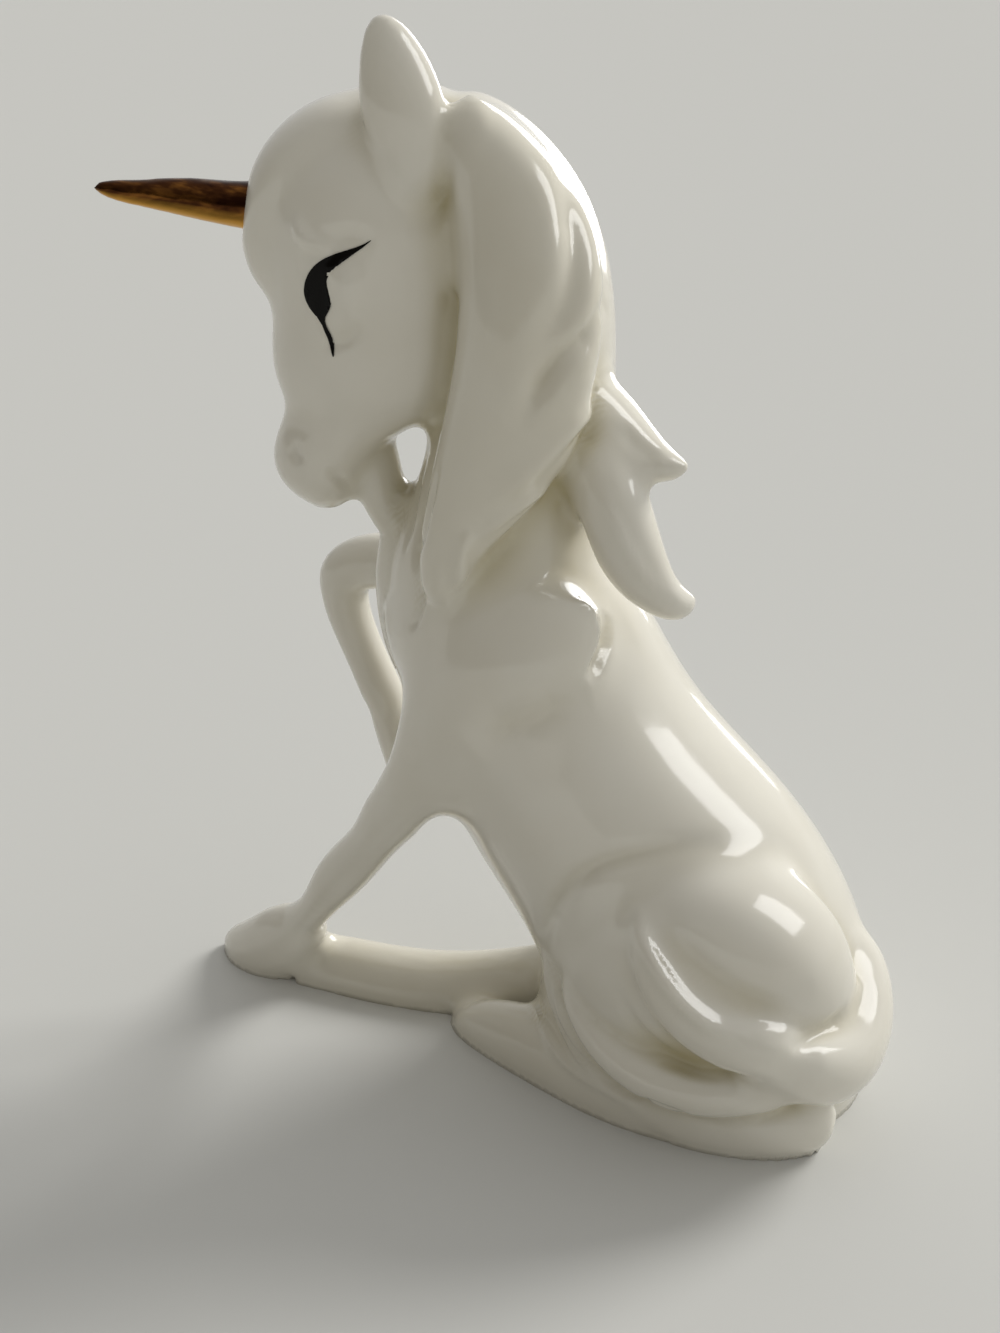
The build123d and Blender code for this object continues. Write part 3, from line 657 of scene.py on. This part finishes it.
def make_gilding():
    """Gold lustre fired over the glaze: brown in patches above, and a painted amber reflection of
    the pale floor underneath.
    """
    material, nodes, links, principled, ripple = new_material("Fired gilding")
    set_values(ripple, Scale=300.0, Depth=0.5)
    set_values(principled, Metallic=1.0, Roughness=0.2)
    place = nodes.new("ShaderNodeTexCoord")
    brushing = nodes.new("ShaderNodeMapping")
    brushing.inputs["Scale"].default_value = (160.0, 520.0, 520.0)
    patches = nodes.new("ShaderNodeTexNoise")
    set_values(patches, Scale=1.0, Detail=3.0, Roughness=0.6)
    ramp = nodes.new("ShaderNodeValToRGB")
    ramp.color_ramp.elements[0].position = 0.40
    ramp.color_ramp.elements[0].color = (*BURNT_GILT, 1)
    ramp.color_ramp.elements[1].position = 0.68
    ramp.color_ramp.elements[1].color = (*THIN_GILT, 1)
    middle = ramp.color_ramp.elements.new(0.52)
    middle.color = (*BROWN_GILT, 1)
    links.new(place.outputs["Object"], brushing.inputs["Vector"])
    links.new(brushing.outputs["Vector"], patches.inputs["Vector"])
    links.new(patches.outputs["Fac"], ramp.inputs["Fac"])
    # Painted reflection: surfaces facing down turn amber, as if they mirrored the pale floor
    below = nodes.new("ShaderNodeMapRange")
    set_values(below, From_Min=-0.1, From_Max=-0.8, To_Min=0.0, To_Max=1.0)
    links.new(facing_up(nodes, links), below.inputs["Value"])
    gilt = colour_mix(nodes, links, below.outputs["Result"], ramp.outputs["Color"], AMBER_PAINTED_REFLECTION)
    links.new(gilt, principled.inputs["Base Color"])
    return material


def make_enamel():
    """Black enamel, fired glossy."""
    material, nodes, links, principled, ripple = new_material("Black overglaze enamel")
    set_values(ripple, Scale=400.0, Depth=0.1)
    set_values(principled, Roughness=0.12, Specular_IOR_Level=0.1)
    tone = colour_mix(nodes, links, ripple.outputs["Thickness"], ENAMEL_BLACK, ENAMEL_THIN)
    links.new(tone, principled.inputs["Base Color"])
    return material


porcelain = make_porcelain()
gilding = make_gilding()
enamel = make_enamel()


def dress(thing, node, material):
    """A finished piece takes its node's place."""
    thing.data.materials.clear()
    thing.data.materials.append(material)
    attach(thing, "root")
    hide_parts(node)


for number, name in enumerate(CASTINGS):
    faces = corners[face_owner == number]
    dress(parted(name, faces), name, porcelain)

# Horn: gilded, with the slight waviness of a hand-finished casting
horn_clay = casting_mesh("horn")
horn_mesh = outer_skin(remeshed(horn_clay, HORN_GRAIN))
horn_bm = bmesh.new()
horn_bm.from_mesh(horn_mesh)
bpy.data.meshes.remove(horn_mesh)
for _ in range(HORN_ROUNDS):
    bmesh.ops.smooth_vert(
        horn_bm, verts=horn_bm.verts, factor=0.5, use_axis_x=True, use_axis_y=True,
        use_axis_z=True,
    )
for face in horn_bm.faces:
    face.smooth = True
dress(mesh_object("horn_gilded", horn_bm), "horn", gilding)

# Eyes: the enamel film lies on the skin of the head
for name in ENAMELLED:
    film = casting_mesh(name)
    bmesh.ops.subdivide_edges(film, edges=film.edges, cuts=2, use_grid_fill=True)
    for vert in film.verts:
        place, normal = skin_tree.find_nearest(vert.co)[:2]
        side = (vert.co - place).dot(normal)
        vert.co = place + normal * (ENAMEL_FILM if side > 0 else -ENAMEL_FILM) * MM
    for face in film.faces:
        face.smooth = True
    dress(mesh_object(name + "_painted", film), name, enamel)

# Stage: a pale floor and soft daylight
floor_bm = bmesh.new()
bmesh.ops.create_grid(floor_bm, x_segments=1, y_segments=1, size=6)
floor = mesh_object("floor", floor_bm)
floor_paint = bpy.data.materials.new("Pale table")
floor_paint.use_nodes = True
set_values(
    floor_paint.node_tree.nodes["Principled BSDF"],
    Base_Color=(*PALE_TABLE, 1), Roughness=1.0, Specular_IOR_Level=0.0,
)
floor.data.materials.append(floor_paint)

WINDOW_WAY = Vector((0.72, 0.10, 0.62)).normalized()
DOORWAY_WAY = Vector((0.12, 0.94, 0.27)).normalized()
DAYLIGHT_WAY = Vector((0.48, 0.70, 0.53)).normalized()
FIGURE_MIDDLE = Vector((-0.02, 0, 0.065))

# Room: daylight from behind on the right, and a darker room in front on the left
world = bpy.data.worlds.new("room")
world.use_nodes = True
room_nodes, room_links = world.node_tree.nodes, world.node_tree.links
bearing = room_nodes.new("ShaderNodeTexCoord")
towards = room_nodes.new("ShaderNodeVectorMath")
towards.operation = "DOT_PRODUCT"
towards.inputs[1].default_value = DAYLIGHT_WAY
brightness = room_nodes.new("ShaderNodeMapRange")
set_values(brightness, From_Min=-0.8, From_Max=0.8, To_Min=0.0, To_Max=1.0)
room_links.new(bearing.outputs["Generated"], towards.inputs[0])
room_links.new(towards.outputs["Value"], brightness.inputs["Value"])
walls = colour_mix(room_nodes, room_links, brightness.outputs["Result"], DIM_ROOM, DAYLIT_ROOM)
room_links.new(walls, room_nodes["Background"].inputs["Color"])
bpy.context.scene.world = world


def hang(lamp, place, aim):
    """Puts a lamp at a place, turned to what it lights."""
    thing = bpy.data.objects.new(lamp.name, lamp)
    thing.location = place
    thing.rotation_mode = "QUATERNION"
    thing.rotation_quaternion = (Vector(aim) - Vector(place)).to_track_quat("-Z", "Y")
    bpy.context.collection.objects.link(thing)
    return thing


def soft_panel(name, way, distance, width, height, radiance):
    """A softly bright window, which the glaze mirrors."""
    lamp = bpy.data.lights.new(name, "AREA")
    lamp.shape = "RECTANGLE"
    lamp.size = width
    lamp.size_y = height
    lamp.energy = radiance * math.pi * width * height
    middle = FIGURE_MIDDLE + way * distance
    hang(lamp, middle, FIGURE_MIDDLE).visible_diffuse = False


daylight = bpy.data.lights.new("daylight", "SUN")
daylight.energy = 2.2
daylight.angle = math.radians(24)
daylight.color = (1.0, 0.99, 0.96)
hang(daylight, DAYLIGHT_WAY, (0, 0, 0)).visible_glossy = False
soft_panel("window", WINDOW_WAY, 0.9, 0.36, 0.56, 4.5)
soft_panel("doorway", DOORWAY_WAY, 0.9, 0.40, 0.60, 4.5)

bpy.context.scene.view_settings.view_transform = "Standard"
